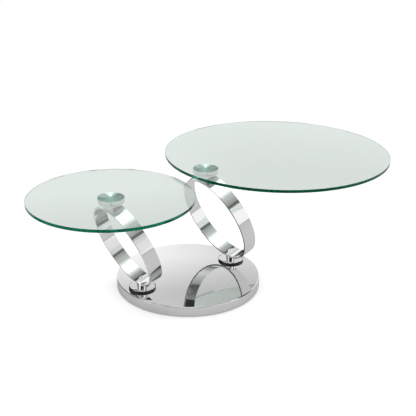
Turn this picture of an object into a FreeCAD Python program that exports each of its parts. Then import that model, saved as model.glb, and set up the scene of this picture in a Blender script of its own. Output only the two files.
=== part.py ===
import FreeCAD, Part
import math
import os
from types import SimpleNamespace

import Sketcher

# Swivel coffee table: two round glass tops, each carried by a leaning steel ring that turns on a
# weighted round base. Millimetres and degrees. The origin is the middle of the base on the floor,
# +Z is up, and +X runs from the left hub to the right hub and on under the large top.

SIZES = {
    # base
    "base_d": (495, "outer diameter of the polished base shell"),
    "base_height": (36, "floor to the top face of the shell"),
    "shell_wall": (2, "sheet thickness of the shell"),
    "shell_edge_r": (3, "outer radius of the shell's pressed top edge"),
    "floor_gap": (1.5, "rim of the shell above the floor"),
    "ballast_d": (476, "steel ballast disc inside the shell"),
    "ballast_t": (16, "thickness of the ballast disc"),
    "cover_d": (489, "bottom cover disc"),
    "cover_t": (2, "thickness of the bottom cover"),
    "floor_pad_d": (480, "felt pad that stands on the floor"),
    "floor_pad_t": (3, "thickness of the felt pad"),
    "cover_screw_pcd": (400, "circle of the bottom cover's screws"),
    "cover_screw_angle": (30, "angle of the first cover screw"),
    "cover_screw_d": (6, "thread of the cover screws"),
    "cover_screw_head_d": (12, "head of the cover screws"),
    "cover_screw_head_t": (2.2, "height of the cover screws' heads"),
    "cover_screw_hold": (12, "length of a cover screw inside the ballast"),
    "screw_access": (1, "room round a screw head in the felt pad"),
    "spacer_d": (14, "outer diameter of the cover spacers"),
    # hub, once for each ring
    "hub_x": (188, "middle of the base to each hub"),
    "hub_height": (32, "top of the base to the underside of the ring"),
    "stud_d": (16, "pivot stud"),
    "bush_d": (22, "sleeve of the pivot bush"),
    "bush_flange_d": (28, "flange of the pivot bush"),
    "bearing_d": (76, "nylon bearing washer under the hub disc"),
    "bearing_t": (1.5, "thickness of the bearing washer"),
    "hub_disc_d": (88, "hub disc at its rim"),
    "hub_disc_t": (6.5, "thickness of the hub disc"),
    "hub_disc_foot_d": (80, "underside of the hub disc, inside its lower bevel"),
    "hub_disc_top_d": (84, "top of the hub disc, inside its upper bevel"),
    "hub_bevel": (1.5, "height of either bevel of the hub disc"),
    "spigot_d": (24, "foot of the neck inside the hub disc"),
    "neck_d": (34, "neck between hub disc and ring"),
    "stud_hold": (14, "length of the stud inside the neck"),
    "thrust_washer_d": (36, "washer under the ballast"),
    "thrust_washer_t": (2, "thickness of that washer"),
    "disc_spring_d": (32, "disc spring that keeps the pivot firm"),
    "disc_spring_t": (1.2, "sheet thickness of the disc spring"),
    "disc_spring_dish": (0.8, "dish of the disc spring"),
    "nut_flats": (24, "lock nut across its flats"),
    "nut_t": (8, "height of the lock nut"),
    # rings
    "ring_tilt": (21, "lean of both rings from the vertical"),
    "band_w": (48, "width of the flat bar that the rings are rolled from"),
    "band_t": (6, "thickness of that bar"),
    "band_edge_r": (0.8, "rounding of the bar's edges"),
    "left_ring_d": (300, "outer diameter of the left ring"),
    "right_ring_d": (326, "outer diameter of the right ring"),
    "bolt_d": (10, "bolts that hold a ring to its neck and to its saddle"),
    "bolt_head_d": (19, "countersunk head of those bolts"),
    "bolt_head_t": (5, "depth of that head"),
    "bolt_rim": (0.5, "straight rim of that head"),
    "bolt_hold": (12, "length of a bolt beyond the band"),
    "socket_flats": (6, "hexagon socket of a bolt"),
    "socket_depth": (3.5, "depth of that socket"),
    # swivel head under each glass top
    "head_height": (30, "top of the ring to the underside of the glass"),
    "saddle_neck_d": (40, "neck of the saddle on top of the ring"),
    "saddle_skirt": (12, "how far the saddle reaches down beside the ring's crest"),
    "saddle_plate_d": (80, "plate of the saddle"),
    "saddle_plate_t": (5.5, "thickness of that plate"),
    "pin_d": (30, "swivel pin on top of the saddle"),
    "pin_top_gap": (0.5, "gap above the pin inside the glass mount"),
    "pin_groove_w": (4, "groove that holds the glass mount on the pin"),
    "pin_groove_depth": (1.5, "depth of that groove"),
    "glide_d": (77, "nylon glide washer between plate and glass mount"),
    "glide_t": (1.5, "thickness of the glide washer"),
    "mount_d": (86, "turned disc bonded under the glass"),
    "mount_t": (13, "thickness of that disc"),
    "mount_recess": (9, "depth of its recess for the swivel pin"),
    "mount_edge": (0.8, "chamfer of its edges"),
    "grub_d": (5, "grub screws that keep the glass mount on its pin"),
    "grub_tip_d": (2.6, "dog point of a grub screw"),
    "grub_reach": (1, "how far a dog point reaches into the groove"),
    "grub_length": (12, "length of a grub screw"),
    "grub_height": (4.5, "underside of the glass mount to the grub screws"),
    # glass
    "glass_t": (10, "thickness of both tops"),
    "glass_edge_r": (0.6, "polished rounding of the glass edge"),
    "left_glass_d": (530, "small top"),
    "right_glass_d": (800, "large top"),
    "left_glass_offset": (0, "swivel axis to the middle of the small top"),
    "right_glass_offset": (316, "swivel axis to the middle of the large top"),
    # gaps between neighbours, and small edges
    "running_gap": (0.05, "radial gap of a turning fit"),
    "seat_gap": (0.1, "radial gap of a piece in its hole"),
    "loose_gap": (0.3, "radial gap of a washer or screw in a clearance hole"),
    "end_gap": (1, "room at the end of a blind hole"),
    "small_edge": (1, "chamfers and roundings of the small turned pieces"),
    "cut_past": (2, "how far a cut starts outside the face that it opens"),
}

SCREW_COUNT = 6
GRUB_COUNT = 3


class Size:
    """A number that also carries the spreadsheet expression it comes from."""

    def __init__(self, value, text=None):
        self.value = float(value)
        self.text = text or str(value)

    def joined(self, sign, other, value):
        return Size(value, f"({self.text} {sign} {other.text})")

    def __add__(self, other):
        other = as_size(other)
        return self.joined("+", other, self.value + other.value)

    def __sub__(self, other):
        other = as_size(other)
        return self.joined("-", other, self.value - other.value)

    def __mul__(self, other):
        other = as_size(other)
        return self.joined("*", other, self.value * other.value)

    def __truediv__(self, other):
        other = as_size(other)
        return self.joined("/", other, self.value / other.value)

    def __radd__(self, other):
        return as_size(other) + self

    def __rsub__(self, other):
        return as_size(other) - self

    def __rmul__(self, other):
        return as_size(other) * self

    def __neg__(self):
        return -1 * self


def as_size(item):
    return item if isinstance(item, Size) else Size(item)


def sin(angle):
    return Size(math.sin(math.radians(angle.value)), f"sin({angle.text} * 1 deg)")


def cos(angle):
    return Size(math.cos(math.radians(angle.value)), f"cos({angle.text} * 1 deg)")


doc = FreeCAD.newDocument("swivel_coffee_table")
sheet = doc.addObject("Spreadsheet::Sheet", "Sizes")
size = SimpleNamespace()
for row, (alias, (value, note)) in enumerate(SIZES.items(), start=1):
    sheet.set(f"A{row}", alias)
    sheet.set(f"B{row}", str(value))
    sheet.set(f"C{row}", note)
    sheet.setAlias(f"B{row}", alias)
    setattr(size, alias, Size(value, f"Sizes.{alias}"))
doc.recompute()

# Heights that several pieces share.
cover_top = size.floor_pad_t + size.cover_t
ballast_top = size.base_height - size.shell_wall
ballast_z = ballast_top - size.ballast_t
hub_disc_z = size.base_height + size.bearing_t
ring_foot_z = size.base_height + size.hub_height

# Directions in the XZ plane: from a ring's foot to its crest, and along the ring's own axis.
UP_RING = (-sin(size.ring_tilt), cos(size.ring_tilt))
RING_AXIS = (cos(size.ring_tilt), sin(size.ring_tilt))

pieces = []


def moved(point, direction, reach):
    """The point of the XZ plane that lies so far from another one."""
    return (point[0] + direction[0] * reach, point[1] + direction[1] * reach)


class Side:
    """What differs between the left and the right half of the table."""

    def __init__(self, name, sign):
        self.name = name
        self.hub_x = sign * size.hub_x
        self.ring_r = getattr(size, f"{name}_ring_d") / 2
        self.glass_r = getattr(size, f"{name}_glass_d") / 2
        self.glass_offset = getattr(size, f"{name}_glass_offset")
        foot = (self.hub_x, ring_foot_z)
        self.ring_middle = moved(foot, UP_RING, self.ring_r)
        self.crest_x, self.crest_z = moved(foot, UP_RING, 2 * self.ring_r)


def new_body(label):
    """An empty body that will be written as parts/LABEL.step."""
    body = doc.addObject("PartDesign::Body", label)
    body.Label = label
    pieces.append(body)
    return body


def origin_plane(body, role):
    return next(item for item in body.Origin.OriginFeatures if item.Role == role)


def empty_sketch(body, name, role):
    sketch = body.newObject("Sketcher::SketchObject", name)
    sketch.AttachmentSupport = [(origin_plane(body, role), "")]
    sketch.MapMode = "FlatFace"
    return sketch


def pin_point(sketch, line, end, spot):
    """Tie one end of a line to the sketch's origin by its two coordinates."""
    for kind, place in zip(("DistanceX", "DistanceY"), spot):
        place = as_size(place)
        row = sketch.addConstraint(Sketcher.Constraint(kind, -1, 1, line, end, place.value))
        sketch.setExpression(f"Constraints[{row}]", place.text)


def vector(spot):
    return FreeCAD.Vector(as_size(spot[0]).value, as_size(spot[1]).value, 0)


def outline(body, name, corners):
    """A closed straight-sided sketch in the XZ plane."""
    sketch = empty_sketch(body, name, "XZ_Plane")
    spots = [vector(corner) for corner in corners]
    for start, end in zip(spots, spots[1:] + spots[:1]):
        sketch.addGeometry(Part.LineSegment(start, end))
    for line in range(len(corners)):
        following = (line + 1) % len(corners)
        sketch.addConstraint(Sketcher.Constraint("Coincident", line, 2, following, 1))
    for line, corner in enumerate(corners):
        pin_point(sketch, line, 1, corner)
    return sketch


def add_axis(sketch, start, end):
    """A construction line that a feature turns about."""
    line = sketch.addGeometry(Part.LineSegment(vector(start), vector(end)), True)
    pin_point(sketch, line, 1, start)
    pin_point(sketch, line, 2, end)
    return (sketch, ["Axis0"])


def turn(body, kind, name, corners, axis=None):
    """Revolve an outline about the upright axis, or about the line through two points."""
    sketch = outline(body, f"{name}_outline", corners)
    feature = body.newObject(f"PartDesign::{kind}", name)
    feature.Profile = sketch
    feature.ReferenceAxis = add_axis(sketch, *axis) if axis else (sketch, ["V_Axis"])
    feature.Angle = 360
    return feature


def turned(label, corners):
    """A body turned about its upright axis."""
    body = new_body(label)
    turn(body, "Revolution", f"{label}_turned", corners)
    return body


def round_hole(body, name, point, direction, span, radius):
    """Cut a round hole whose axis passes through a point of the XZ plane.

    The hole reaches from span[0] to span[1] along the direction, both measured from the point.
    """
    start = moved(point, direction, span[0])
    end = moved(point, direction, span[1])
    square = (direction[1], -direction[0])
    corners = [start, end, moved(end, square, radius), moved(start, square, radius)]
    return turn(body, "Groove", name, corners, (start, end))


def circle_cut(body, name, spots, radius):
    """Cut upright round holes right through."""
    sketch = empty_sketch(body, f"{name}_circles", "XY_Plane")
    for index, spot in enumerate(spots):
        sketch.addGeometry(Part.Circle(vector(spot), FreeCAD.Vector(0, 0, 1), radius.value))
        pin_point(sketch, index, 3, spot)
        row = sketch.addConstraint(Sketcher.Constraint("Radius", index, radius.value))
        sketch.setExpression(f"Constraints[{row}]", radius.text)
    pocket = body.newObject("PartDesign::Pocket", name)
    pocket.Profile = sketch
    pocket.Type = "ThroughAll"
    pocket.Midplane = True
    return pocket


def hexagon_cut(body, name, flats, depth):
    """Sink a hexagon socket into the face at z = 0, towards +Z."""
    corner_r = flats / math.sqrt(3)
    sketch = empty_sketch(body, f"{name}_hexagon", "XY_Plane")
    circle = Part.Circle(FreeCAD.Vector(), FreeCAD.Vector(0, 0, 1), corner_r.value)
    points = [circle.value(index * circle.LastParameter / 6) for index in range(6)]
    for start, end in zip(points, points[1:] + points[:1]):
        sketch.addGeometry(Part.LineSegment(start, end))
    rim = sketch.addGeometry(circle, True)
    sketch.addConstraint(Sketcher.Constraint("Coincident", rim, 3, -1, 1))
    row = sketch.addConstraint(Sketcher.Constraint("Radius", rim, circle.Radius))
    sketch.setExpression(f"Constraints[{row}]", corner_r.text)
    for line in range(6):
        sketch.addConstraint(Sketcher.Constraint("Coincident", line, 2, (line + 1) % 6, 1))
        sketch.addConstraint(Sketcher.Constraint("PointOnObject", line, 1, rim))
        if line:
            sketch.addConstraint(Sketcher.Constraint("Equal", 0, line))
    sketch.addConstraint(Sketcher.Constraint("PointOnObject", 0, 1, -1))
    pocket = body.newObject("PartDesign::Pocket", name)
    pocket.Profile = sketch
    pocket.Reversed = True
    pocket.setExpression("Length", depth.text)
    return pocket


def repeat(body, feature, count):
    """Repeat a feature round the body's upright axis."""
    sketch = feature.Profile[0]
    upright = "N_Axis" if "circles" in sketch.Name else "V_Axis"
    pattern = body.newObject("PartDesign::PolarPattern", f"{feature.Name}_round")
    pattern.Originals = [feature]
    pattern.Axis = (sketch, [upright])
    pattern.Angle = 360
    pattern.Occurrences = count
    body.Tip = pattern


def dress(body, kind, amount, wanted):
    """Fillet or chamfer the circular edges for which wanted(radius, height) is true."""
    doc.recompute()
    base = body.Tip
    names = []
    for index, edge in enumerate(base.Shape.Edges, start=1):
        curve = edge.Curve
        if isinstance(curve, Part.Circle) and wanted(curve.Radius, curve.Center.z):
            names.append(f"Edge{index}")
    feature = body.newObject(f"PartDesign::{kind}", f"{body.Label}_{kind.lower()}")
    feature.Base = (base, names)
    feature.setExpression("Radius" if kind == "Fillet" else "Size", amount.text)


def near(number, wanted):
    return abs(number - wanted.value) < 0.01


def put(body, across, up):
    """Place a piece along X and along Z."""
    body.setExpression(".Placement.Base.x", across.text)
    body.setExpression(".Placement.Base.z", up.text)


def turn_piece(body, axis, angle):
    """Turn a piece about an axis through its own origin."""
    body.Placement.Rotation = FreeCAD.Rotation(FreeCAD.Vector(axis), angle.value)
    body.setExpression(".Placement.Rotation.Angle", angle.text)


def hub_spots():
    """Middles of the two hubs, seen from above."""
    return [(-size.hub_x, 0), (size.hub_x, 0)]


def screw_spot():
    """Middle of the first cover screw, seen from above."""
    radius = size.cover_screw_pcd / 2
    return (radius * cos(size.cover_screw_angle), radius * sin(size.cover_screw_angle))


def make_base_shell():
    """Pressed and polished sheet cover, open below, with a hole for each pivot bush."""
    rim = size.base_d / 2
    top = size.base_height
    wall = rim - size.shell_wall
    body = turned("base_shell", [
        (0, top), (rim, top), (rim, size.floor_gap), (wall, size.floor_gap),
        (wall, ballast_top), (0, ballast_top)])
    dress(body, "Fillet", size.shell_edge_r,
          lambda radius, height: near(radius, rim) and near(height, top))
    circle_cut(body, "shell_hub_holes", hub_spots(), size.bush_flange_d / 2 + size.seat_gap)


def make_ballast_plate():
    """Thick steel disc that keeps the table on its feet and carries both pivots."""
    rim = size.ballast_d / 2
    body = turned("ballast_plate", [
        (0, ballast_z), (rim, ballast_z), (rim, ballast_top), (0, ballast_top)])
    circle_cut(body, "ballast_bush_holes", hub_spots(), size.bush_d / 2 + size.seat_gap)
    radius = size.cover_screw_d / 2 + size.seat_gap
    holes = circle_cut(body, "ballast_screw_holes", [screw_spot()], radius)
    repeat(body, holes, SCREW_COUNT)


def make_bottom_cover():
    """Flat sheet that closes the base from below."""
    rim = size.cover_d / 2
    body = turned("bottom_cover", [
        (0, size.floor_pad_t), (rim, size.floor_pad_t), (rim, cover_top), (0, cover_top)])
    radius = size.cover_screw_d / 2 + size.loose_gap
    holes = circle_cut(body, "cover_holes", [screw_spot()], radius)
    repeat(body, holes, SCREW_COUNT)


def make_floor_pad():
    """Felt disc under the cover, pierced for the screw heads."""
    rim = size.floor_pad_d / 2
    body = turned("floor_pad", [(0, 0), (rim, 0), (rim, size.floor_pad_t), (0, size.floor_pad_t)])
    radius = size.cover_screw_head_d / 2 + size.screw_access
    holes = circle_cut(body, "pad_holes", [screw_spot()], radius)
    repeat(body, holes, SCREW_COUNT)


def make_round_group(label, corners):
    """Small turned pieces on the cover's screw circle, all in one node."""
    body = new_body(label)
    middle = size.cover_screw_pcd / 2
    shifted = [(middle + across, up) for across, up in corners]
    first = turn(body, "Revolution", f"{label}_first", shifted, ((middle, 0), (middle, 1)))
    repeat(body, first, SCREW_COUNT)
    turn_piece(body, (0, 0, 1), size.cover_screw_angle)


def make_cover_fixings():
    """Spacers and screws between the bottom cover and the ballast."""
    bore = size.cover_screw_d / 2 + size.loose_gap
    rim = size.spacer_d / 2
    make_round_group("cover_spacers", [
        (bore, cover_top), (rim, cover_top), (rim, ballast_z), (bore, ballast_z)])
    head = size.cover_screw_head_d / 2
    shank = size.cover_screw_d / 2
    head_z = size.floor_pad_t - size.cover_screw_head_t
    tip_z = ballast_z + size.cover_screw_hold
    make_round_group("cover_screws", [
        (0, head_z), (head, head_z), (head, size.floor_pad_t), (shank, size.floor_pad_t),
        (shank, tip_z), (0, tip_z)])


def make_washer(label, bore, rim, thickness):
    """Flat ring with its underside at its own origin."""
    return turned(label, [(bore, 0), (rim, 0), (rim, thickness), (bore, thickness)])


def make_pivot(side):
    """What turns and what holds each hub: bush, washers, disc spring, lock nut and stud."""
    bore = size.stud_d / 2 + size.running_gap
    sleeve = size.bush_d / 2
    flange = size.bush_flange_d / 2
    flange_z = size.ballast_t + size.shell_wall
    bush = turned(f"{side.name}_pivot_bush", [
        (bore, 0), (sleeve, 0), (sleeve, size.ballast_t), (flange, size.ballast_t),
        (flange, flange_z), (bore, flange_z)])
    put(bush, side.hub_x, ballast_z)

    loose = size.stud_d / 2 + size.loose_gap
    bearing = make_washer(f"{side.name}_bearing_washer", loose, size.bearing_d / 2, size.bearing_t)
    put(bearing, side.hub_x, size.base_height)

    thrust = make_washer(
        f"{side.name}_thrust_washer", loose, size.thrust_washer_d / 2, size.thrust_washer_t)
    thrust_z = ballast_z - size.thrust_washer_t
    put(thrust, side.hub_x, thrust_z)

    rim = size.disc_spring_d / 2
    spring_height = size.disc_spring_dish + size.disc_spring_t
    spring = turned(f"{side.name}_disc_spring", [
        (loose, 0), (rim, size.disc_spring_dish), (rim, spring_height),
        (loose, size.disc_spring_t)])
    spring_z = thrust_z - spring_height
    put(spring, side.hub_x, spring_z)

    nut_z = spring_z - size.nut_t
    make_lock_nut(f"{side.name}_lock_nut", side.hub_x, nut_z)

    stud_r = size.stud_d / 2
    length = hub_disc_z + size.stud_hold - nut_z
    stud = turned(f"{side.name}_pivot_stud", [(0, 0), (stud_r, 0), (stud_r, length), (0, length)])
    dress(stud, "Chamfer", size.small_edge, lambda radius, height: True)
    put(stud, side.hub_x, nut_z)


def make_lock_nut(label, across, up):
    """Hexagon nut with a plain bore."""
    block = doc.addObject("Part::Prism", f"{label}_block")
    block.Polygon = 6
    block.setExpression("Circumradius", (size.nut_flats / math.sqrt(3)).text)
    block.setExpression("Height", size.nut_t.text)
    bore = doc.addObject("Part::Cylinder", f"{label}_bore")
    bore.setExpression("Radius", (size.stud_d / 2 + size.seat_gap).text)
    bore.setExpression("Height", size.nut_t.text)
    nut = doc.addObject("Part::Cut", label)
    nut.Base = block
    nut.Tool = bore
    nut.Label = label
    pieces.append(nut)
    put(nut, across, up)


def make_hub(side):
    """Bevelled hub disc and the neck that is cut to the ring."""
    bore = size.spigot_d / 2 + size.seat_gap
    foot = size.hub_disc_foot_d / 2
    rim = size.hub_disc_d / 2
    top = size.hub_disc_top_d / 2
    disc = turned(f"{side.name}_hub_disc", [
        (bore, 0), (foot, 0), (rim, size.hub_bevel), (rim, size.hub_disc_t - size.hub_bevel),
        (top, size.hub_disc_t), (bore, size.hub_disc_t)])
    dress(disc, "Fillet", size.small_edge,
          lambda radius, height: radius > foot.value + size.small_edge.value)
    put(disc, side.hub_x, hub_disc_z)

    stud_bore = size.stud_d / 2 + size.seat_gap
    stud_room = size.stud_hold + size.end_gap
    spigot = size.spigot_d / 2
    shaft = size.neck_d / 2
    uncut = size.hub_height + size.saddle_skirt
    neck = turned(f"{side.name}_hub_neck", [
        (stud_bore, 0), (spigot, 0), (spigot, size.hub_disc_t), (shaft, size.hub_disc_t),
        (shaft, uncut), (0, uncut), (0, stud_room), (stud_bore, stud_room)])
    cut_by_ring(neck, f"{side.name}_neck_seat", side, size.hub_height - size.bearing_t, 1)
    put(neck, side.hub_x, hub_disc_z)


def cut_by_ring(body, name, side, seat, above):
    """Cut a seat for the ring, with the ring above (1) or below (-1) the height of the seat.

    The ring's own axis lies in the XZ plane, one ring radius from the seat. The bolt hole runs
    the other way from the same point, square to the band.
    """
    seat_point = (0, seat)
    to_ring = (above * UP_RING[0], above * UP_RING[1])
    ring_axis = (above * RING_AXIS[0], above * RING_AXIS[1])
    middle = moved(seat_point, to_ring, side.ring_r)
    span = (-size.band_w, size.band_w)
    round_hole(body, name, middle, ring_axis, span, side.ring_r + size.running_gap)
    from_ring = (-to_ring[0], -to_ring[1])
    span = (-size.cut_past, size.bolt_hold + size.end_gap)
    bolt_r = size.bolt_d / 2 + size.seat_gap
    round_hole(body, f"{name}_bolt_hole", seat_point, from_ring, span, bolt_r)


def make_ring(side):
    """Flat bar rolled into a ring, with a countersunk hole at its foot and at its crest."""
    outer = side.ring_r
    inner = outer - size.band_t
    body = turned(f"{side.name}_ring_band", [
        (inner, 0), (outer, 0), (outer, size.band_w), (inner, size.band_w)])
    dress(body, "Fillet", size.band_edge_r, lambda radius, height: True)

    middle = size.band_w / 2
    head = middle + size.bolt_head_d / 2 + size.seat_gap
    shank = middle + size.bolt_d / 2 + size.seat_gap
    inside = inner - size.cut_past
    outside = outer + size.cut_past
    hole = turn(body, "Groove", f"{side.name}_foot_hole", [
        (inside, middle), (inside, head), (inner + size.bolt_rim, head),
        (inner + size.bolt_head_t, shank), (outside, shank), (outside, middle)],
        ((inside, middle), (outside, middle)))
    repeat(body, hole, 2)
    turn_piece(body, (0, 1, 0), 90 - size.ring_tilt)
    put(body, *moved(side.ring_middle, RING_AXIS, -size.band_w / 2))

    foot_bolt = make_ring_bolt(f"{side.name}_foot_bolt", 180 - size.ring_tilt)
    put(foot_bolt, *moved(side.ring_middle, UP_RING, -inner))
    crest_bolt = make_ring_bolt(f"{side.name}_crest_bolt", -size.ring_tilt)
    put(crest_bolt, *moved(side.ring_middle, UP_RING, inner))


def make_ring_bolt(label, angle):
    """Countersunk bolt, head at its own origin, shank along its own +Z."""
    head = size.bolt_head_d / 2
    shank = size.bolt_d / 2
    length = size.band_t + size.bolt_hold
    body = turned(label, [
        (0, 0), (head, 0), (head, size.bolt_rim), (shank, size.bolt_head_t), (shank, length),
        (0, length)])
    dress(body, "Chamfer", size.small_edge, lambda radius, height: near(height, length))
    hexagon_cut(body, f"{label}_socket", size.socket_flats, size.socket_depth)
    turn_piece(body, (0, 1, 0), angle)
    return body


def make_saddle(side):
    """Neck on the ring's crest, its plate, and the grooved swivel pin, in one turned piece."""
    neck = size.saddle_neck_d / 2
    plate = size.saddle_plate_d / 2
    pin = size.pin_d / 2
    groove = pin - size.pin_groove_depth
    mount_z = size.saddle_skirt + size.head_height - size.mount_t
    plate_top = mount_z - size.glide_t
    plate_z = plate_top - size.saddle_plate_t
    groove_z = mount_z + size.grub_height - size.pin_groove_w / 2
    groove_top = mount_z + size.grub_height + size.pin_groove_w / 2
    pin_top = mount_z + size.mount_recess - size.pin_top_gap
    saddle = turned(f"{side.name}_saddle", [
        (0, 0), (neck, 0), (neck, plate_z), (plate, plate_z), (plate, plate_top),
        (pin, plate_top), (pin, groove_z), (groove, groove_z), (groove, groove_top),
        (pin, groove_top), (pin, pin_top), (0, pin_top)])
    dress(saddle, "Chamfer", size.mount_edge, lambda radius, height: near(radius, plate))
    cut_by_ring(saddle, f"{side.name}_saddle_seat", side, size.saddle_skirt, -1)
    put(saddle, side.crest_x, side.crest_z - size.saddle_skirt)


def make_glass_mount(side):
    """Turned disc under the glass, its glide washer, and the grub screws that keep it on."""
    mount_z = side.crest_z + size.head_height - size.mount_t
    glide_bore = size.pin_d / 2 + size.loose_gap
    glide = make_washer(f"{side.name}_glide_washer", glide_bore, size.glide_d / 2, size.glide_t)
    put(glide, side.crest_x, mount_z - size.glide_t)

    recess = size.pin_d / 2 + size.running_gap
    rim = size.mount_d / 2
    mount = turned(f"{side.name}_glass_mount", [
        (recess, 0), (rim, 0), (rim, size.mount_t), (0, size.mount_t), (0, size.mount_recess),
        (recess, size.mount_recess)])
    dress(mount, "Chamfer", size.mount_edge, lambda radius, height: near(radius, rim))
    span = (size.pin_d / 2 - size.cut_past, rim + size.cut_past)
    radius = size.grub_d / 2 + size.seat_gap
    hole = round_hole(mount, f"{side.name}_grub_hole", (0, size.grub_height), (1, 0), span, radius)
    repeat(mount, hole, GRUB_COUNT)
    put(mount, side.crest_x, mount_z)

    screws = new_body(f"{side.name}_grub_screws")
    tip = size.pin_d / 2 - size.grub_reach
    end = tip + size.grub_length
    shoulder = recess + size.loose_gap
    middle = size.grub_height
    thread_z = middle + size.grub_d / 2
    tip_z = middle + size.grub_tip_d / 2
    first = turn(screws, "Revolution", f"{side.name}_grub_first", [
        (tip, middle), (end, middle), (end, thread_z), (shoulder, thread_z), (shoulder, tip_z),
        (tip, tip_z)], ((tip, middle), (end, middle)))
    repeat(screws, first, GRUB_COUNT)
    put(screws, side.crest_x, mount_z)


def make_glass_top(side):
    """Round pane with a polished edge, bonded to its mount."""
    rim = side.glass_r
    glass = turned(f"{side.name}_glass_top", [
        (0, 0), (rim, 0), (rim, size.glass_t), (0, size.glass_t)])
    dress(glass, "Fillet", size.glass_edge_r, lambda radius, height: True)
    put(glass, side.crest_x + side.glass_offset, side.crest_z + size.head_height)


make_base_shell()
make_ballast_plate()
make_bottom_cover()
make_floor_pad()
make_cover_fixings()
for side in (Side("left", -1), Side("right", 1)):
    make_pivot(side)
    make_hub(side)
    make_ring(side)
    make_saddle(side)
    make_glass_mount(side)
    make_glass_top(side)
doc.recompute()

for item in doc.Objects:
    if "Invalid" in item.State or "Error" in item.State:
        raise RuntimeError(f"{item.Label} failed: {item.State}")
for piece in pieces:
    if piece.Shape.isNull() or not piece.Shape.isValid():
        raise RuntimeError(f"{piece.Label} has no valid shape")

os.makedirs("parts", exist_ok=True)
for piece in pieces:
    piece.Shape.exportStep(f"parts/{piece.Label}.step")
print(len(pieces), "pieces written")
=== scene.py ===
import itertools
import math

import bmesh
import bpy
from mathutils import Matrix, Vector


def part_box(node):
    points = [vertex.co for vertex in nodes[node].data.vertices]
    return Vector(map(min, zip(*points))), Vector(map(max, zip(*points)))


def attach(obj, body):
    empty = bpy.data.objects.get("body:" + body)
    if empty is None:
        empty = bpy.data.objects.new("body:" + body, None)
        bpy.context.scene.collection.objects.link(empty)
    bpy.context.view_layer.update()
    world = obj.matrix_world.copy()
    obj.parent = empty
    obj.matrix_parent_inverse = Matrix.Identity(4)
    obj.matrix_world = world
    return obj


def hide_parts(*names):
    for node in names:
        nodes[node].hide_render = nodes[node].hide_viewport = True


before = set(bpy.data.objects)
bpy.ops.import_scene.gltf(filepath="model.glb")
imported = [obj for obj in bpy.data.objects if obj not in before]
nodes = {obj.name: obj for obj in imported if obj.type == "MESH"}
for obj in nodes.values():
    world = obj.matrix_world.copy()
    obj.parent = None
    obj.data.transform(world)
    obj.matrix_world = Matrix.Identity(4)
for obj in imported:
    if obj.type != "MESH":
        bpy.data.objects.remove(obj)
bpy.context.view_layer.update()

# A swivel coffee table: the finishes of its solids, the mounts and washers whose forms are finer
# than those solids, and the studio that its steel mirrors and its glass shows.

MM = 0.001
HAIR = 0.1 * MM                         # a small distance, and the depth of a fine grain
SIDES = ("left", "right")
FACE_UPRIGHT = 0.99                     # the least z of a normal whose face counts as level

# ---------------------------------------------------------------- camera
CAMERA_AT = Vector((-1.4442, -2.0625, 1.2897))
CAMERA_TURN = math.radians(36.52)       # clockwise from +Y, seen from above
CAMERA_PITCH = math.radians(21.83)      # downwards
CAMERA_ROLL = math.radians(0.64)
CAMERA_REACH = 100                      # metres, beyond the floor's corners
LENS = 69.4                             # millimetres, as is the sensor's width
SENSOR = 36


def heading(turn, climb):
    """The direction that lies turn clockwise from the camera's own heading and climb above the horizon."""
    angle = CAMERA_TURN + turn
    return Vector((
        math.sin(angle) * math.cos(climb),
        math.cos(angle) * math.cos(climb),
        math.sin(climb),
    ))


def make_camera():
    data = bpy.data.cameras.new("camera")
    data.lens = LENS
    data.sensor_width = SENSOR
    data.clip_end = CAMERA_REACH
    camera = bpy.data.objects.new("camera", data)
    bpy.context.scene.collection.objects.link(camera)
    forward = heading(0, -CAMERA_PITCH)
    level = heading(math.pi / 2, 0)
    upward = level.cross(forward)
    right = math.cos(CAMERA_ROLL) * level + math.sin(CAMERA_ROLL) * upward
    up = math.cos(CAMERA_ROLL) * upward - math.sin(CAMERA_ROLL) * level
    turned = Matrix((right, up, -forward)).transposed()
    camera.matrix_world = Matrix.Translation(CAMERA_AT) @ turned.to_4x4()
    bpy.context.scene.camera = camera


# ---------------------------------------------------------------- node trees
def place(tree, kind, **values):
    """Adds a shader node; a value goes to the input, or else to the setting, of that name."""
    node = tree.nodes.new(kind)
    for name, value in values.items():
        title = name.replace("_", " ")
        if title in node.inputs:
            socket = node.inputs[title]
            if isinstance(value, bpy.types.NodeSocket):
                tree.links.new(value, socket)
            else:
                socket.default_value = value
        else:
            setattr(node, name, value)
    return node


def new_material(name, **values):
    """A material with one Principled BSDF, and that shader's constant sockets set."""
    material = bpy.data.materials.new(name)
    material.use_nodes = True
    tree = material.node_tree
    shader = tree.nodes["Principled BSDF"]
    for title, value in values.items():
        shader.inputs[title.replace("_", " ")].default_value = value
    return material, tree, shader


def empty_material(name):
    material = bpy.data.materials.new(name)
    material.use_nodes = True
    material.node_tree.nodes.clear()
    return material, material.node_tree


def noise(tree, scale, detail=3, roughness=0.5, squeeze=(1, 1, 1)):
    """Noise in the object's own coordinates, scale cells to the metre, squeezed along each axis."""
    where = place(tree, "ShaderNodeTexCoord")
    mapped = place(tree, "ShaderNodeMapping", Vector=where.outputs["Object"])
    mapped.inputs["Scale"].default_value = squeeze
    texture = place(
        tree, "ShaderNodeTexNoise", Vector=mapped.outputs["Vector"],
        Scale=scale, Detail=detail, Roughness=roughness,
    )
    return texture.outputs["Fac"]


def between(tree, value, low, high):
    """A number that runs from low to high as value runs from 0 to 1."""
    ranged = place(tree, "ShaderNodeMapRange", Value=value)
    ranged.inputs["To Min"].default_value = low
    ranged.inputs["To Max"].default_value = high
    return ranged.outputs["Result"]


def shades(tree, value, *stops):
    """A colour ramp through stops, each a position and a colour."""
    ramp = place(tree, "ShaderNodeValToRGB", Fac=value)
    elements = ramp.color_ramp.elements
    while len(elements) < len(stops):
        elements.new(0.5)
    for element, (position, colour) in zip(elements, stops):
        element.position = position
        element.color = (*colour, 1)
    return ramp.outputs["Color"]


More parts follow.
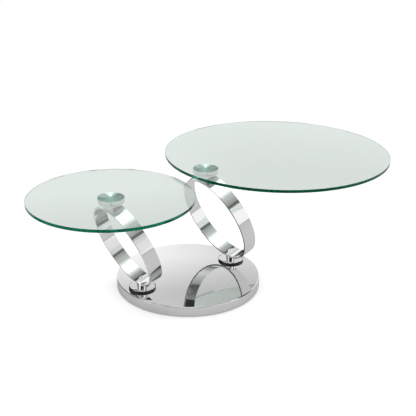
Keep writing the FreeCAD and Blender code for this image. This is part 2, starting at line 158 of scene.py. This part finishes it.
def raise_surface(tree, shader, height, strength, distance):
    """Makes the surface look uneven: height runs from 0 to 1 for distance metres, softened by strength."""
    bump = place(tree, "ShaderNodeBump", Height=height, Strength=strength, Distance=distance)
    tree.links.new(bump.outputs["Normal"], shader.inputs["Normal"])


def run_round(tree, shader):
    """Lets the shader's grain run round the piece's upright axis."""
    tangent = place(tree, "ShaderNodeTangent", direction_type="RADIAL", axis="Z")
    tree.links.new(tangent.outputs["Tangent"], shader.inputs["Tangent"])


# ---------------------------------------------------------------- materials
WHITE = (1, 1, 1, 1)
EDGE_UPRIGHT = 0.9                      # the most z of a normal on the edge of a plate
EDGE_GREEN = (0.38, 1.0, 0.93, 1)       # what that edge lets through
EDGE_SHEEN = (0.1, 0.7, 0.6, 1)         # what it reflects
DEEP_GREEN = (0.05, 0.66, 0.54, 1)      # what the glass lets through along its length
DEEP_DENSITY = 10                       # how fast that colour comes up, to the metre
PLAIN_FINISHES = {
    "black_nylon": dict(
        dark=(0.02, 0.02, 0.02), light=(0.032, 0.032, 0.033), scale=900, rough=(0.4, 0.55), depth=HAIR),
    "zinc_steel": dict(
        dark=(0.5, 0.52, 0.55), light=(0.68, 0.69, 0.7), scale=220, rough=(0.25, 0.4), depth=HAIR,
        metallic=1),
    "bronze": dict(
        dark=(0.5, 0.33, 0.15), light=(0.66, 0.46, 0.23), scale=400, rough=(0.3, 0.42), depth=HAIR,
        metallic=1),
    "cast_ballast": dict(
        dark=(0.06, 0.06, 0.065), light=(0.13, 0.13, 0.135), scale=160, rough=(0.6, 0.8), depth=4 * HAIR),
    "black_sheet": dict(
        dark=(0.03, 0.03, 0.03), light=(0.05, 0.05, 0.052), scale=1200, rough=(0.45, 0.6), depth=HAIR),
    "felt": dict(
        dark=(0.03, 0.03, 0.03), light=(0.08, 0.08, 0.082), scale=1800, rough=(0.9, 1.0), depth=6 * HAIR),
}


def polished_steel():
    """Mirror polished, with faint wipe marks and a surface that is very slightly uneven."""
    material, tree, shader = new_material("polished_steel", Metallic=1)
    wipes = noise(tree, scale=14, detail=4, roughness=0.6, squeeze=(1, 3, 1))
    colour = shades(tree, wipes, (0.3, (0.885, 0.885, 0.89)), (0.7, (0.91, 0.91, 0.915)))
    tree.links.new(colour, shader.inputs["Base Color"])
    tree.links.new(between(tree, wipes, low=0.025, high=0.06), shader.inputs["Roughness"])
    raise_surface(tree, shader, noise(tree, scale=60, detail=2), strength=0.02, distance=HAIR)
    return material


def turned_steel():
    """Satin faces off the lathe, with rings of fine grooves."""
    material, tree, shader = new_material("turned_steel", Metallic=1, Anisotropic=0.6)
    where = place(tree, "ShaderNodeTexCoord")
    centred = place(tree, "ShaderNodeMapping", Vector=where.outputs["Generated"])
    centred.inputs["Location"].default_value = (-0.5, -0.5, 0)
    rings = place(
        tree, "ShaderNodeTexWave", Vector=centred.outputs["Vector"], wave_type="RINGS",
        rings_direction="Z", Scale=26, Distortion=0.4, Detail=2,
    )
    grooves = rings.outputs["Fac"]
    colour = shades(tree, grooves, (0.0, (0.78, 0.8, 0.8)), (1.0, (0.88, 0.9, 0.9)))
    tree.links.new(colour, shader.inputs["Base Color"])
    tree.links.new(between(tree, grooves, low=0.1, high=0.16), shader.inputs["Roughness"])
    run_round(tree, shader)
    raise_surface(tree, shader, grooves, strength=0.1, distance=HAIR)
    return material


def turned_face():
    """The cut grooves of a mount's top: each throws light across itself and hardly along itself."""
    material, tree, shader = new_material(
        "turned_face", Metallic=1, Anisotropic=0.6, Anisotropic_Rotation=0.25)
    chatter = noise(tree, scale=300, detail=4)
    colour = shades(tree, chatter, (0.3, (0.77, 0.91, 0.88)), (0.7, (0.85, 0.98, 0.95)))
    tree.links.new(colour, shader.inputs["Base Color"])
    tree.links.new(between(tree, chatter, low=0.2, high=0.3), shader.inputs["Roughness"])
    run_round(tree, shader)
    return material


def on_plate_faces(tree):
    """A number that is 1 on the two level faces of a plate and 0 on its edge."""
    surface = place(tree, "ShaderNodeNewGeometry")
    split = place(tree, "ShaderNodeSeparateXYZ", Vector=surface.outputs["True Normal"])
    upright = place(tree, "ShaderNodeMath", operation="ABSOLUTE")
    tree.links.new(split.outputs["Z"], upright.inputs[0])
    share = place(tree, "ShaderNodeMapRange", Value=upright.outputs[0])
    share.inputs["From Min"].default_value = EDGE_UPRIGHT
    share.inputs["From Max"].default_value = FACE_UPRIGHT
    return share.outputs["Result"]


def clear_glass():
    """Float glass: clear through its thickness, deep green along its length and at its edge."""
    material, tree, shader = new_material("clear_glass", Transmission_Weight=1, IOR=1.52)
    smears = noise(tree, scale=6, detail=4, roughness=0.6)
    colour = shades(tree, smears, (0.3, (0.985, 0.99, 0.945)), (0.7, (1.0, 1.0, 0.96)))
    faces = on_plate_faces(tree)
    for title, edge, face in (("Base Color", EDGE_GREEN, colour), ("Specular Tint", EDGE_SHEEN, WHITE)):
        mix = place(tree, "ShaderNodeMixRGB", Fac=faces, Color1=edge, Color2=face)
        tree.links.new(mix.outputs["Color"], shader.inputs[title])
    tree.links.new(between(tree, smears, low=0.0, high=0.012), shader.inputs["Roughness"])
    absorb = place(tree, "ShaderNodeVolumeAbsorption", Density=DEEP_DENSITY)
    absorb.inputs["Color"].default_value = DEEP_GREEN
    output = tree.nodes["Material Output"]
    tree.links.new(absorb.outputs["Volume"], output.inputs["Volume"])
    return material


def plain_finish(name, dark, light, scale, rough, depth, metallic=0.0):
    """A finish with a fine grain: its colour, gloss and surface follow one noise."""
    material, tree, shader = new_material(name, Metallic=metallic)
    grain = noise(tree, scale, detail=5, roughness=0.6)
    tree.links.new(shades(tree, grain, (0.35, dark), (0.65, light)), shader.inputs["Base Color"])
    tree.links.new(between(tree, grain, *rough), shader.inputs["Roughness"])
    raise_surface(tree, shader, grain, strength=0.3, distance=depth)
    return material


def make_materials():
    """The finished material of each slot."""
    finished = {
        "polished_steel": polished_steel(),
        "turned_steel": turned_steel(),
        "clear_glass": clear_glass(),
    }
    for name, finish in PLAIN_FINISHES.items():
        finished[name] = plain_finish(name, **finish)
    return finished


def finish_nodes(materials):
    """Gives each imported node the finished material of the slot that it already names."""
    for node in nodes.values():
        for spot in node.material_slots:
            spot.material = materials[spot.material.name.split(".")[0]]


# ---------------------------------------------------------------- pieces
SHARP = math.radians(35)                # from this turn on, an edge between two faces is shaded sharp
WELD = 0.001 * MM                       # corners closer than this are one corner
LATHE_STEPS = 144

GROOVE_PITCH = 1.4 * MM
GROOVE_SLOPE = math.radians(17)         # the long side of each groove, which faces the middle
GROOVE_LONG = 0.86                      # that side's share of the pitch
GROOVE_RISE = GROOVE_PITCH * GROOVE_LONG * math.tan(GROOVE_SLOPE)
BOND = 0.1 * MM                         # how far the foot of each groove stands in the bonded glass

# Radii and heights of the bearing washer, in millimetres.
WASHER_BORE = 12.5
WASHER_RIM = 44.95
WASHER_TOP = 1.45                       # just under the hub disc
BEVEL_FOOT = 40.1                       # just outside the foot of the disc's lower bevel
LIP_INSIDE = 44.1                       # just outside the disc's rim
LIP_ROOT = 2.9                          # just under the lower edge of that rim
LIP_TOP = 6.6


def new_object(name, mesh, material):
    piece = bpy.data.objects.new(name, mesh)
    piece.data.materials.append(material)
    bpy.context.scene.collection.objects.link(piece)
    return piece


def middle(node):
    """The middle of a node's underside."""
    low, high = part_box(node)
    return Vector(((low[0] + high[0]) / 2, (low[1] + high[1]) / 2, low[2]))


def turned_mesh(name, shape):
    """The mesh of a turned shape, shaded round between its sharp edges."""
    bmesh.ops.recalc_face_normals(shape, faces=shape.faces)
    mesh = bpy.data.meshes.new(name)
    shape.to_mesh(mesh)
    shape.free()
    if "custom_normal" in mesh.attributes:
        mesh.attributes.remove(mesh.attributes["custom_normal"])
    mesh.set_sharp_from_angle(angle=SHARP)
    return mesh


def open_top(shape, centre):
    """Takes the level lid off a turned shape, and gives the corners of its rim, all the way round."""
    top = max(vertex.co.z for vertex in shape.verts)
    lid = [
        face for face in shape.faces
        if face.normal.z > FACE_UPRIGHT and face.calc_center_median().z > top - HAIR
    ]
    rim = {corner for face in lid for corner in face.verts}
    rim = sorted(rim, key=lambda corner: math.atan2(corner.co.y - centre.y, corner.co.x - centre.x))
    bmesh.ops.delete(shape, geom=lid, context="FACES")
    return rim


def groove_steps(reach):
    """The radius and height of each crest and foot of the grooves, from reach inwards."""
    steps = []
    radius = reach - HAIR
    while radius > GROOVE_PITCH:
        steps.append((radius, BOND + GROOVE_RISE))
        steps.append((radius - GROOVE_LONG * GROOVE_PITCH, BOND))
        radius -= GROOVE_PITCH
    return steps


def turn_grooves(shape, rim, centre):
    """Closes the open top of a turned shape with grooves, from its rim to its middle. Gives their faces."""
    spokes = [(corner.co - centre).normalized() for corner in rim]
    outer = rim
    grooved = []
    for radius, height in groove_steps((rim[0].co - centre).length):
        level = centre + Vector((0, 0, height))
        inner = [shape.verts.new(level + radius * spoke) for spoke in spokes]
        for here in range(len(rim)):
            onward = (here + 1) % len(rim)
            grooved.append(shape.faces.new((outer[here], outer[onward], inner[onward], inner[here])))
        outer = inner
    grooved.append(shape.faces.new(outer))
    return grooved


def make_mount(side, groove_finish):
    """The mount with grooves turned in its top, bonded into the glass with no air between them."""
    node = nodes[side + "_glass_mount"]
    shape = bmesh.new()
    shape.from_mesh(node.data)
    bmesh.ops.remove_doubles(shape, verts=shape.verts, dist=WELD)
    centre = middle(node.name)
    rim = open_top(shape, centre)
    centre.z = rim[0].co.z
    for face in turn_grooves(shape, rim, centre):
        face.smooth = True
        face.material_index = 1         # groove_finish, which comes second
    mesh = turned_mesh(node.name + "_turned", shape)
    mount = new_object(mesh.name, mesh, node.material_slots[0].material)
    mesh.materials.append(groove_finish)
    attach(mount, side + "_top")
    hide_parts(node.name)


def lathe(name, profile, centre, material):
    """A solid turned about the upright axis through centre.

    profile is a closed run of radii and heights in millimetres.
    """
    shape = bmesh.new()
    rings = []
    for step in range(LATHE_STEPS):
        angle = 2 * math.pi * step / LATHE_STEPS
        spots = (
            (radius * math.cos(angle) * MM, radius * math.sin(angle) * MM, height * MM)
            for radius, height in profile
        )
        rings.append([shape.verts.new(Vector(spot) + centre) for spot in spots])
    count = len(profile)
    for step, row in itertools.product(range(LATHE_STEPS), range(count)):
        here = rings[step]
        onward = rings[(step + 1) % LATHE_STEPS]
        following = (row + 1) % count
        face = shape.faces.new((here[row], onward[row], onward[following], here[following]))
        face.smooth = True
    return new_object(name, turned_mesh(name, shape), material)


def make_bearing(side, nylon):
    """The black nylon washer with the lip that closes the gap round the hub disc."""
    node = side + "_bearing_washer"
    # Along the underside, up the rounded rim, over the rounded lip and back under the hub disc.
    profile = (
        (WASHER_BORE, 0),
        (WASHER_RIM - 0.55, 0), (WASHER_RIM - 0.15, 0.15), (WASHER_RIM, 0.5),
        (WASHER_RIM, LIP_TOP - 0.4), (WASHER_RIM - 0.1, LIP_TOP - 0.15), (WASHER_RIM - 0.35, LIP_TOP),
        (LIP_INSIDE + 0.2, LIP_TOP - 0.05), (LIP_INSIDE, LIP_TOP - 0.3), (LIP_INSIDE, LIP_ROOT),
        (BEVEL_FOOT, WASHER_TOP), (WASHER_BORE, WASHER_TOP),
    )
    washer = lathe(node + "_lipped", profile, middle(node), nylon)
    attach(washer, "base")
    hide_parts(node)


def clear_pane(side):
    """Spares the table the dark shadow of a glass top, as clear glass hardly shades what is below it."""
    pane = nodes[side + "_glass_top"]
    pane.visible_shadow = False
    pane.visible_diffuse = False


# ---------------------------------------------------------------- studio
FLOOR_REACH = 30                        # metres from the middle to each side
FLOOR_COLOUR = (0.63, 0.63, 0.63, 1)
FLOOR_LIFT = 0.5                        # what makes the lit floor white to the eye
FLOOR_MIRRORED = 0.03                   # its lift in a reflection
FLOOR_THROUGH_GLASS = 0.19              # and through the glass
WORLD_LIGHT = 0.8                       # what the white surroundings give to the table

SCREEN_COLUMNS = 72                     # facets along each screen, and rows of them
SCREEN_ROWS = 8
ALL_ROUND = (0, 360)


def weigh_rays(tree, camera, glossy, transmission):
    """A number that is the given weight for each kind of ray, and nothing for the rays that light things."""
    ray = place(tree, "ShaderNodeLightPath")
    total = None
    for title, weight in (("Camera", camera), ("Glossy", glossy), ("Transmission", transmission)):
        step = place(tree, "ShaderNodeMath", operation="MULTIPLY_ADD")
        tree.links.new(ray.outputs["Is " + title + " Ray"], step.inputs[0])
        step.inputs[1].default_value = weight
        if total is None:
            step.inputs[2].default_value = 0
        else:
            tree.links.new(total, step.inputs[2])
        total = step.outputs[0]
    return total


def make_floor():
    """A wide pale floor. It is white to the eye and keeps the table's shadow."""
    material, tree = empty_material("floor")
    paint = place(tree, "ShaderNodeBsdfDiffuse", Color=FLOOR_COLOUR)
    lift = weigh_rays(
        tree, camera=FLOOR_LIFT, glossy=FLOOR_MIRRORED, transmission=FLOOR_THROUGH_GLASS)
    glow = place(tree, "ShaderNodeEmission", Color=WHITE, Strength=lift)
    both = place(tree, "ShaderNodeAddShader")
    tree.links.new(paint.outputs[0], both.inputs[0])
    tree.links.new(glow.outputs[0], both.inputs[1])
    output = place(tree, "ShaderNodeOutputMaterial")
    tree.links.new(both.outputs[0], output.inputs["Surface"])
    mesh = bpy.data.meshes.new("floor")
    corners = [(x * FLOOR_REACH, y * FLOOR_REACH, 0) for x, y in ((-1, -1), (1, -1), (1, 1), (-1, 1))]
    mesh.from_pydata(corners, [], [(0, 1, 2, 3)])
    new_object("floor", mesh, material)


def make_world():
    """Surroundings that show white and light the table a little less than that."""
    world = bpy.data.worlds.new("studio")
    bpy.context.scene.world = world
    world.use_nodes = True
    tree = world.node_tree
    tree.nodes.clear()
    seen = weigh_rays(tree, camera=1, glossy=1, transmission=1)
    strength = between(tree, seen, WORLD_LIGHT, 1.0)
    sky = place(tree, "ShaderNodeBackground", Color=WHITE, Strength=strength)
    output = place(tree, "ShaderNodeOutputWorld")
    tree.links.new(sky.outputs[0], output.inputs["Surface"])


def softbox(name, turn, climb, distance, size, power):
    """A round area lamp, distance metres off, that faces the middle of the floor under the table."""
    data = bpy.data.lights.new(name, "AREA")
    data.shape = "DISK"
    data.size = size
    data.energy = power
    lamp = bpy.data.objects.new(name, data)
    bpy.context.scene.collection.objects.link(lamp)
    towards = heading(math.radians(turn), math.radians(climb))
    lamp.location = distance * towards
    lamp.rotation_euler = towards.to_track_quat("Z", "Y").to_euler()


def even(value):
    """The same value from one end of a screen to the other."""
    return (0.0, value), (1.0, value)


def soft_ends(start, end):
    """Solid between start and end, and faded away towards both ends."""
    return (0.0, 0.0), (start, 1.0), (end, 1.0), (1.0, 0.0)


def soft_top(end):
    """Solid up to end, and faded away above it."""
    return (0.0, 1.0), (end, 1.0), (1.0, 0.0)


def screen_material(name, levels, covers, sides):
    material, tree = empty_material(name)
    where = place(tree, "ShaderNodeUVMap")
    split = place(tree, "ShaderNodeSeparateXYZ", Vector=where.outputs["UV"])
    level, cover, side = (
        shades(tree, split.outputs[axis], *((share, (value, value, value)) for share, value in stops))
        for axis, stops in (("Y", levels), ("Y", covers), ("X", sides))
    )
    solid = place(tree, "ShaderNodeMath", operation="MULTIPLY")
    tree.links.new(cover, solid.inputs[0])
    tree.links.new(side, solid.inputs[1])
    grey = place(tree, "ShaderNodeEmission", Color=level)
    clear = place(tree, "ShaderNodeBsdfTransparent")
    mix = place(tree, "ShaderNodeMixShader")
    tree.links.new(solid.outputs[0], mix.inputs[0])
    tree.links.new(clear.outputs[0], mix.inputs[1])
    tree.links.new(grey.outputs[0], mix.inputs[2])
    output = place(tree, "ShaderNodeOutputMaterial")
    tree.links.new(mix.outputs[0], output.inputs["Surface"])
    return material


def screen_mesh(name, reach, spread, low, high, tilt):
    """Part of a ball's surface, with its length and its height laid out from 0 to 1."""
    shape = bmesh.new()
    uv = shape.loops.layers.uv.new("card")
    columns = []
    for column in range(SCREEN_COLUMNS + 1):
        turn = math.radians(spread[0] + (spread[1] - spread[0]) * column / SCREEN_COLUMNS)
        foot = low + tilt * math.cos(turn)
        climbs = (math.radians(foot + (high - low) * row / SCREEN_ROWS) for row in range(SCREEN_ROWS + 1))
        columns.append([shape.verts.new(reach * heading(turn, climb)) for climb in climbs])
    for column, row in itertools.product(range(SCREEN_COLUMNS), range(SCREEN_ROWS)):
        corners = ((column, row), (column + 1, row), (column + 1, row + 1), (column, row + 1))
        face = shape.faces.new([columns[across][up] for across, up in corners])
        for loop, (across, up) in zip(face.loops, corners):
            loop[uv].uv = (across / SCREEN_COLUMNS, up / SCREEN_ROWS)
    mesh = bpy.data.meshes.new(name)
    shape.to_mesh(mesh)
    shape.free()
    return mesh


def screen(name, reach, spread, low, high, levels, covers, sides=even(1.0), tilt=0, through_glass=True):
    """A curved screen of the studio, seen only in the table's steel and in or through its glass.

    It stands reach metres off, covers the turns in spread and runs from low to high degrees above the
    horizon, tilt degrees higher on its far side. levels and covers give its brightness and how solid
    it is, from its lower edge at 0 to its upper edge at 1, and sides how solid it is along its length.
    """
    material = screen_material(name, levels, covers, sides)
    card = new_object(name, screen_mesh(name, reach, spread, low, high, tilt), material)
    card.visible_camera = False
    card.visible_diffuse = False
    card.visible_shadow = False
    card.visible_transmission = through_glass


def make_ceiling():
    """The ceiling, pale round the lamp and darker towards the walls, and the shade below it."""
    screen(
        "ceiling_cove", reach=5.0, spread=ALL_ROUND, low=42.0, high=76.0, tilt=3.0,
        levels=(
            (0.0, 0.07), (0.19, 0.08), (0.235, 0.3), (0.35, 0.38), (0.59, 0.52), (0.8, 0.7), (1.0, 0.8)),
        covers=((0.0, 0.4), (0.03, 1.0), (0.8, 1.0), (1.0, 0.0)),
    )
    screen(
        "left_cove", reach=4.65, spread=(-75, -28), low=46.0, high=66.0,
        levels=((0.0, 0.15), (1.0, 0.3)),
        covers=((0.0, 0.0), (0.1, 0.6), (0.7, 0.5), (1.0, 0.0)),
        sides=soft_ends(0.2, 0.8),
    )
    screen(
        "wall_shade", reach=4.9, spread=ALL_ROUND, low=26.0, high=42.0, tilt=-1.0,
        levels=((0.0, 0.5), (0.25, 0.55), (1.0, 0.75)),
        covers=((0.0, 0.0), (0.25, 0.85), (1.0, 0.8)),
        sides=((0.0, 1.0), (0.24, 0.9), (0.3, 0.35), (0.4, 0.3), (0.45, 0.8), (1.0, 1.0)),
    )
    screen(
        "lamp_rim", reach=3.3, spread=ALL_ROUND, low=63.0, high=78.0,
        levels=((0.0, 0.5), (1.0, 0.8)),
        covers=((0.0, 0.0), (0.25, 0.9), (0.6, 0.7), (1.0, 0.0)),
    )


def make_walls():
    """Dark screens that stand on the floor, and a grey one across the far right corner."""
    screen(
        "corner_shade", reach=4.7, spread=(-6, 60), low=18.0, high=40.0,
        levels=even(0.3), covers=((0.0, 0.0), (0.25, 0.38), (1.0, 0.38)), sides=soft_ends(0.17, 0.6),
    )
    screen(
        "rear_screen", reach=4.6, spread=(126, 234), low=0.0, high=40.0,
        levels=even(0.02), covers=soft_top(0.85),
        sides=(
            (0.0, 0.0), (0.05, 0.17), (0.15, 0.22), (0.22, 1.0),
            (0.78, 1.0), (0.85, 0.22), (0.95, 0.17), (1.0, 0.0)),
    )
    screen(
        "left_screen", reach=4.6, spread=(-100, -36), low=0.0, high=48.0,
        levels=even(0.015), covers=even(1.0), sides=soft_ends(0.2, 0.95),
    )
    screen(
        "right_screen", reach=4.55, spread=(78, 107), low=0.0, high=46.0,
        levels=even(0.03), covers=even(1.0), sides=soft_ends(0.1, 0.95),
    )


def make_flags():
    """Two low dark screens close to the table, which don't show through its glass."""
    screen(
        "left_flag", reach=1.3, spread=(-112, -60), low=0.0, high=26.0,
        levels=even(0.04), covers=soft_top(0.9), sides=soft_ends(0.2, 0.8), through_glass=False,
    )
    screen(
        "away_flag", reach=1.35, spread=(-14, 34), low=0.0, high=20.0,
        levels=even(0.04), covers=soft_top(0.9), sides=soft_ends(0.15, 0.85), through_glass=False,
    )


def make_studio():
    make_floor()
    make_world()
    softbox("overhead_softbox", turn=0, climb=89, distance=3.4, size=2.9, power=17)
    make_ceiling()
    make_walls()
    make_flags()


make_camera()
make_studio()
materials = make_materials()
finish_nodes(materials)
grooved_steel = turned_face()
for side in SIDES:
    make_mount(side, grooved_steel)
    make_bearing(side, materials["black_nylon"])
    clear_pane(side)

scene = bpy.context.scene
scene.cycles.max_bounces = 40           # light meets the glass and the mirrors many times over
scene.cycles.glossy_bounces = 32
scene.cycles.transmission_bounces = 32
scene.view_settings.view_transform = "Standard"
